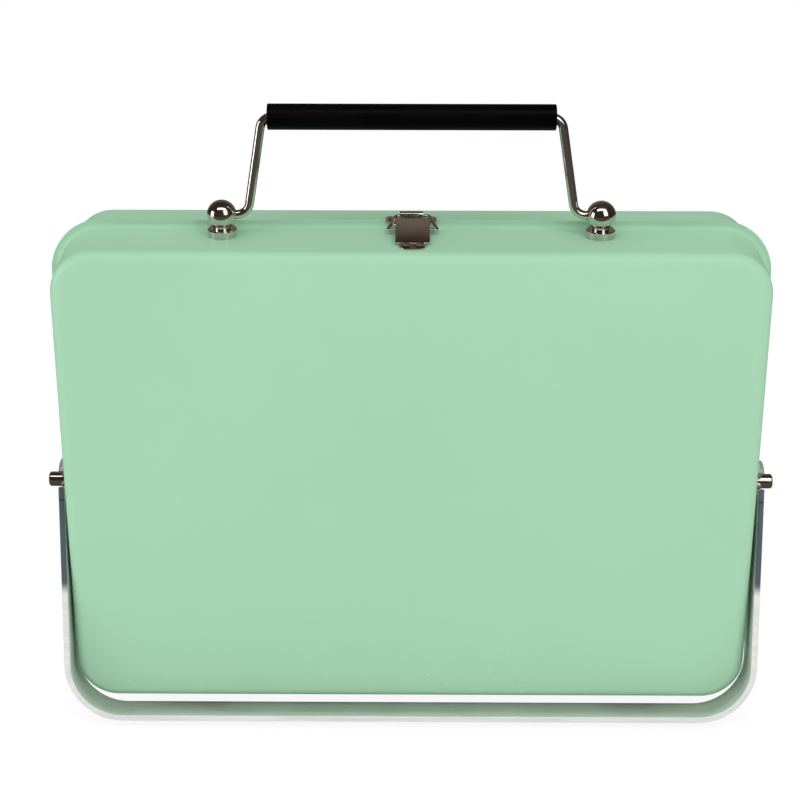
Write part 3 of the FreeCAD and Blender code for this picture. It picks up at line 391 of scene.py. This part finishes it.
def nickel_material(colours, surface, scratches):
    material, tree, shader, place = new_material("bright_nickel")
    skin = add_group(tree, surface, place, grain_scale=600.0, patch_scale=120.0, smooth=0.07, dull=0.17)
    marks = add_group(tree, scratches, place, scale=240.0, width=0.02, rarity=0.56)
    tone = blend_colour(tree, ramp(tree, skin.outputs["Patches"], 0.3, 0.7),
                        shaded(colours.nickel, 0.92), colours.nickel)
    marked = blend_colour(tree, calc(tree, "MULTIPLY", marks.outputs["Scratches"], 0.3), tone,
                          shaded(colours.nickel, 0.7))
    tree.links.new(marked, shader.inputs["Base Color"])
    tree.links.new(skin.outputs["Roughness"], shader.inputs["Roughness"])
    shader.inputs["Metallic"].default_value = 1.0
    bump(tree, shader, skin.outputs["Grain"], 0.00001)
    return material


def zinc_material(colours, surface, brushed):
    material, tree, shader, place = new_material("hinge_zinc")
    skin = add_group(tree, surface, place, grain_scale=900.0, patch_scale=90.0, smooth=0.28, dull=0.42)
    rolled = add_group(tree, brushed, place, across=(1.0, 20.0, 20.0), scale=60.0)
    tone = blend_colour(tree, ramp(tree, rolled.outputs["Lines"], 0.3, 0.7),
                        shaded(colours.zinc, 0.82), colours.zinc)
    tree.links.new(tone, shader.inputs["Base Color"])
    tree.links.new(skin.outputs["Roughness"], shader.inputs["Roughness"])
    shader.inputs["Metallic"].default_value = 1.0
    bump(tree, shader, skin.outputs["Grain"], 0.00002)
    return material


def tray_material(colours, surface, scratches):
    """Galvanised sheet: the crystals of its zinc show as patches of slightly different grey."""
    material, tree, shader, place = new_material("galvanised_sheet")
    skin = add_group(tree, surface, place, grain_scale=800.0, patch_scale=20.0, smooth=0.32, dull=0.50)
    crystals = tree.nodes.new("ShaderNodeTexVoronoi")
    crystals.inputs["Scale"].default_value = 120.0
    tree.links.new(place, crystals.inputs["Vector"])
    shade = tree.nodes.new("ShaderNodeSeparateColor")
    tree.links.new(crystals.outputs["Color"], shade.inputs[0])
    tone = blend_colour(tree, shade.outputs[0], shaded(colours.steel, 0.78), colours.steel)
    marks = add_group(tree, scratches, place, scale=40.0, width=0.006, rarity=0.55)
    marked = blend_colour(tree, calc(tree, "MULTIPLY", marks.outputs["Scratches"], 0.3), tone,
                          shaded(colours.steel, 1.3))
    tree.links.new(marked, shader.inputs["Base Color"])
    tree.links.new(skin.outputs["Roughness"], shader.inputs["Roughness"])
    shader.inputs["Metallic"].default_value = 0.55
    bump(tree, shader, skin.outputs["Grain"], 0.00003)
    return material


def grate_material(colours, surface):
    material, tree, shader, place = new_material("bright_chrome")
    skin = add_group(tree, surface, place, grain_scale=500.0, patch_scale=60.0, smooth=0.14, dull=0.26)
    tone = blend_colour(tree, ramp(tree, skin.outputs["Patches"], 0.3, 0.7),
                        shaded(colours.nickel, 0.85), shaded(colours.nickel, 1.08))
    tree.links.new(tone, shader.inputs["Base Color"])
    tree.links.new(skin.outputs["Roughness"], shader.inputs["Roughness"])
    shader.inputs["Metallic"].default_value = 0.75
    bump(tree, shader, skin.outputs["Grain"], 0.00001)
    return material


def sleeve_material(colours, surface, scratches):
    material, tree, shader, place = new_material("matt_sleeve")
    skin = add_group(tree, surface, place, grain_scale=1600.0, patch_scale=40.0, smooth=0.32, dull=0.46)
    marks = add_group(tree, scratches, stretch(tree, place, (1.0, 3.0, 3.0)), scale=60.0, width=0.004,
                      rarity=0.58)
    tone = blend_colour(tree, ramp(tree, skin.outputs["Patches"], 0.3, 0.7),
                        colours.sleeve, shaded(colours.sleeve, 1.8))
    marked = blend_colour(tree, calc(tree, "MULTIPLY", marks.outputs["Scratches"], 0.5), tone,
                          (0.012, 0.011, 0.011))
    tree.links.new(marked, shader.inputs["Base Color"])
    tree.links.new(skin.outputs["Roughness"], shader.inputs["Roughness"])
    shader.inputs["Specular IOR Level"].default_value = 0.05
    bump(tree, shader, skin.outputs["Grain"], 0.00004)
    return material


def finish_nodes(names, material):
    for name in names:
        for slot in NODES[name].material_slots:
            slot.material = material


# ---------------------------------------------------------------- modelling helpers

def deselect():
    if bpy.context.object and bpy.context.object.mode != "OBJECT":
        bpy.ops.object.mode_set(mode="OBJECT")
    bpy.ops.object.select_all(action="DESELECT")


def activate(piece):
    deselect()
    piece.select_set(True)
    bpy.context.view_layer.objects.active = piece


def softened_copy(node, name, width, body, material):
    """A copy of a sheet-metal CAD node, merged, with the small rounded edges that deburring leaves."""
    source = NODES[node]
    piece = bpy.data.objects.new(name, source.data.copy())
    bpy.context.scene.collection.objects.link(piece)
    activate(piece)
    bpy.ops.object.mode_set(mode="EDIT")
    bpy.ops.mesh.select_all(action="SELECT")
    bpy.ops.mesh.remove_doubles(threshold=0.000002)
    bpy.ops.mesh.dissolve_limited(angle_limit=math.radians(0.5))
    bpy.ops.object.mode_set(mode="OBJECT")
    edge = piece.modifiers.new("deburred", "BEVEL")
    edge.width = width
    edge.segments = 2
    edge.limit_method = "ANGLE"
    edge.angle_limit = math.radians(32)
    bpy.ops.object.modifier_apply(modifier=edge.name)
    bpy.ops.object.shade_smooth_by_angle(angle=math.radians(30))
    piece.data.materials.clear()
    piece.data.materials.append(material)
    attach(piece, body)
    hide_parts(node)
    return piece


# ---------------------------------------------------------------- operators

class BARBECUE_OT_finishes(bpy.types.Operator):
    """Make every finish of the barbecue and put it on the CAD pieces"""
    bl_idname = "barbecue.finishes"
    bl_label = "Finishes"

    def execute(self, context):
        colours = context.scene.barbecue_finish
        surface = handled_metal_group()
        scratches = scratch_group()
        brushed = brushed_group()
        coat = coat_material(colours, surface, scratches)
        aluminium_material(colours, surface, brushed, scratches)
        nickel = nickel_material(colours, surface, scratches)
        zinc = zinc_material(colours, surface, brushed)
        tray = tray_material(colours, surface, scratches)
        grate = grate_material(colours, surface)
        sleeve = sleeve_material(colours, surface, scratches)
        finish_nodes(COATED_STEEL, coat)
        finish_nodes(NICKELLED, nickel)
        finish_nodes(ZINC_PLATED, zinc)
        finish_nodes(TRAY_STEEL, tray)
        finish_nodes(GRATE_WIRE, grate)
        finish_nodes(["handle_grip"], sleeve)
        return {"FINISHED"}


class BARBECUE_OT_stands(bpy.types.Operator):
    """Both aluminium stands, with their edges deburred"""
    bl_idname = "barbecue.stands"
    bl_label = "Stands"

    def execute(self, context):
        width = context.scene.barbecue_edges.stand
        material = bpy.data.materials["satin_aluminium"]
        for side in ("front", "rear"):
            softened_copy(side + "_stand", side + "_stand_strip", width, side + "_stand",
                          material)
        return {"FINISHED"}


class BARBECUE_OT_latch(bpy.types.Operator):
    """The latch's base, lever and catch, with their sheet edges softened"""
    bl_idname = "barbecue.latch"
    bl_label = "Latch"

    def execute(self, context):
        width = context.scene.barbecue_edges.latch
        material = bpy.data.materials["bright_nickel"]
        for node, body in LATCH_PLATES:
            softened_copy(node, node + "_plate", width, body, material)
        return {"FINISHED"}


class BARBECUE_OT_stage(bpy.types.Operator):
    """The studio: a pale floor, soft lights, the surroundings and the camera"""
    bl_idname = "barbecue.stage"
    bl_label = "Stage"

    def execute(self, context):
        stage = context.scene.barbecue_stage
        deselect()
        bpy.ops.mesh.primitive_plane_add(size=stage.floor_size, location=(0, 0, 0))
        floor = context.object
        floor.name = "studio_floor"
        material, tree, shader, place = new_material("pale_floor")
        tone = blend_colour(tree, noise(tree, place, 3.0), stage.floor, shaded(stage.floor, 1.01))
        tree.links.new(tone, shader.inputs["Base Color"])
        shader.inputs["Roughness"].default_value = 0.8
        shader.inputs["Specular IOR Level"].default_value = 0.1
        shader.inputs["Emission Color"].default_value = WHITE
        shader.inputs["Emission Strength"].default_value = FLOOR_GLOW
        paper = tree.nodes.new("ShaderNodeEmission")
        paper.inputs["Color"].default_value = WHITE
        seen = tree.nodes.new("ShaderNodeMixShader")
        path = tree.nodes.new("ShaderNodeLightPath")
        tree.links.new(calc(tree, "MULTIPLY", path.outputs["Is Camera Ray"], PAPER_SHARE), seen.inputs[0])
        tree.links.new(shader.outputs[0], seen.inputs[1])
        tree.links.new(paper.outputs[0], seen.inputs[2])
        shade = tree.nodes.new("ShaderNodeEmission")
        shade.inputs["Color"].default_value = MIRRORED_FLOOR
        mirrored = tree.nodes.new("ShaderNodeMixShader")
        in_mirror = calc(tree, "MULTIPLY", path.outputs["Is Glossy Ray"], MIRROR_SHARE)
        tree.links.new(in_mirror, mirrored.inputs[0])
        tree.links.new(seen.outputs[0], mirrored.inputs[1])
        tree.links.new(shade.outputs[0], mirrored.inputs[2])
        tree.links.new(mirrored.outputs[0], tree.nodes["Material Output"].inputs["Surface"])
        floor.data.materials.append(material)
        for light in LIGHTS:
            soft_light(*light)
        surroundings()
        camera(stage)
        context.scene.view_settings.view_transform = "Standard"
        context.scene.view_settings.look = "None"
        context.scene.view_settings.exposure = 0.0
        context.scene.view_settings.gamma = 1.0
        return {"FINISHED"}


def soft_light(name, place, target, sizes, power):
    data = bpy.data.lights.new(name, "AREA")
    data.shape = "RECTANGLE"
    data.size, data.size_y = sizes
    data.energy = power
    lamp = bpy.data.objects.new(name, data)
    bpy.context.scene.collection.objects.link(lamp)
    lamp.location = place
    lamp.rotation_euler = (Vector(target) - Vector(place)).to_track_quat("-Z", "Y").to_euler()


def surroundings():
    """A white room that the camera and matt surfaces see, and a dark warm one that bright metal mirrors."""
    world = bpy.data.worlds.new("studio")
    bpy.context.scene.world = world
    world.use_nodes = True
    tree = world.node_tree
    white = tree.nodes["Background"]
    plain = tree.nodes.new("ShaderNodeBackground")
    plain.inputs["Color"].default_value = WHITE
    mirrored = tree.nodes.new("ShaderNodeBackground")
    direction = tree.nodes.new("ShaderNodeTexCoord").outputs["Generated"]
    split = tree.nodes.new("ShaderNodeSeparateXYZ")
    tree.links.new(direction, split.inputs[0])
    overhead = ramp(tree, split.outputs["Z"], 0.0, 1.0, SKY_LOW, SKY_HIGH)
    tree.links.new(overhead, white.inputs["Strength"])
    white.inputs["Color"].default_value = WHITE
    behind = ramp(tree, split.outputs["Y"], 0.45, 0.95)
    tone = blend_colour(tree, behind, MIRRORED_FRONT, MIRRORED_BEHIND)
    tree.links.new(tone, mirrored.inputs["Color"])
    path = tree.nodes.new("ShaderNodeLightPath")
    glossy = tree.nodes.new("ShaderNodeMixShader")
    tree.links.new(path.outputs["Is Glossy Ray"], glossy.inputs[0])
    tree.links.new(white.outputs[0], glossy.inputs[1])
    tree.links.new(mirrored.outputs[0], glossy.inputs[2])
    seen = tree.nodes.new("ShaderNodeMixShader")
    tree.links.new(path.outputs["Is Camera Ray"], seen.inputs[0])
    tree.links.new(glossy.outputs[0], seen.inputs[1])
    tree.links.new(plain.outputs[0], seen.inputs[2])
    tree.links.new(seen.outputs[0], tree.nodes["World Output"].inputs["Surface"])


def camera(stage):
    data = bpy.data.cameras.new("camera")
    data.lens = stage.lens
    data.sensor_width = 36.0
    data.clip_start = 0.01
    eye = bpy.data.objects.new("camera", data)
    bpy.context.scene.collection.objects.link(eye)
    turn = (Matrix.Rotation(EYE_YAW, 4, "Z") @ Matrix.Rotation(math.pi / 2 - stage.pitch, 4, "X")
            @ Matrix.Rotation(EYE_ROLL, 4, "Z"))
    eye.matrix_world = Matrix.Translation(EYE) @ turn
    bpy.context.scene.camera = eye


class BARBECUE_PT_panel(bpy.types.Panel):
    """The barbecue's sizes, colours and pieces"""
    bl_idname = "BARBECUE_PT_panel"
    bl_label = "Suitcase barbecue"
    bl_space_type = "VIEW_3D"
    bl_region_type = "UI"
    bl_category = "Barbecue"

    def draw(self, context):
        for name in ("barbecue_finish", "barbecue_edges", "barbecue_stage"):
            settings = getattr(context.scene, name)
            for item in settings.bl_rna.properties:
                if not item.is_readonly and item.identifier != "name":
                    self.layout.prop(settings, item.identifier)
        for operator in PIECES:
            self.layout.operator(operator.bl_idname)


SETTINGS = {"barbecue_finish": FinishSettings, "barbecue_edges": EdgeSettings,
            "barbecue_stage": StageSettings}
PIECES = [BARBECUE_OT_finishes, BARBECUE_OT_stands, BARBECUE_OT_latch, BARBECUE_OT_stage]


def register():
    for cls in [*SETTINGS.values(), *PIECES, BARBECUE_PT_panel]:
        bpy.utils.register_class(cls)
    for name, cls in SETTINGS.items():
        setattr(bpy.types.Scene, name, bpy.props.PointerProperty(type=cls))


def unregister():
    for name in SETTINGS:
        delattr(bpy.types.Scene, name)
    for cls in [BARBECUE_PT_panel, *reversed(PIECES), *SETTINGS.values()]:
        bpy.utils.unregister_class(cls)


def main():
    register()
    bpy.ops.barbecue.finishes()
    bpy.ops.barbecue.stands()
    bpy.ops.barbecue.latch()
    bpy.ops.barbecue.stage()


if __name__ == "__main__":
    main()
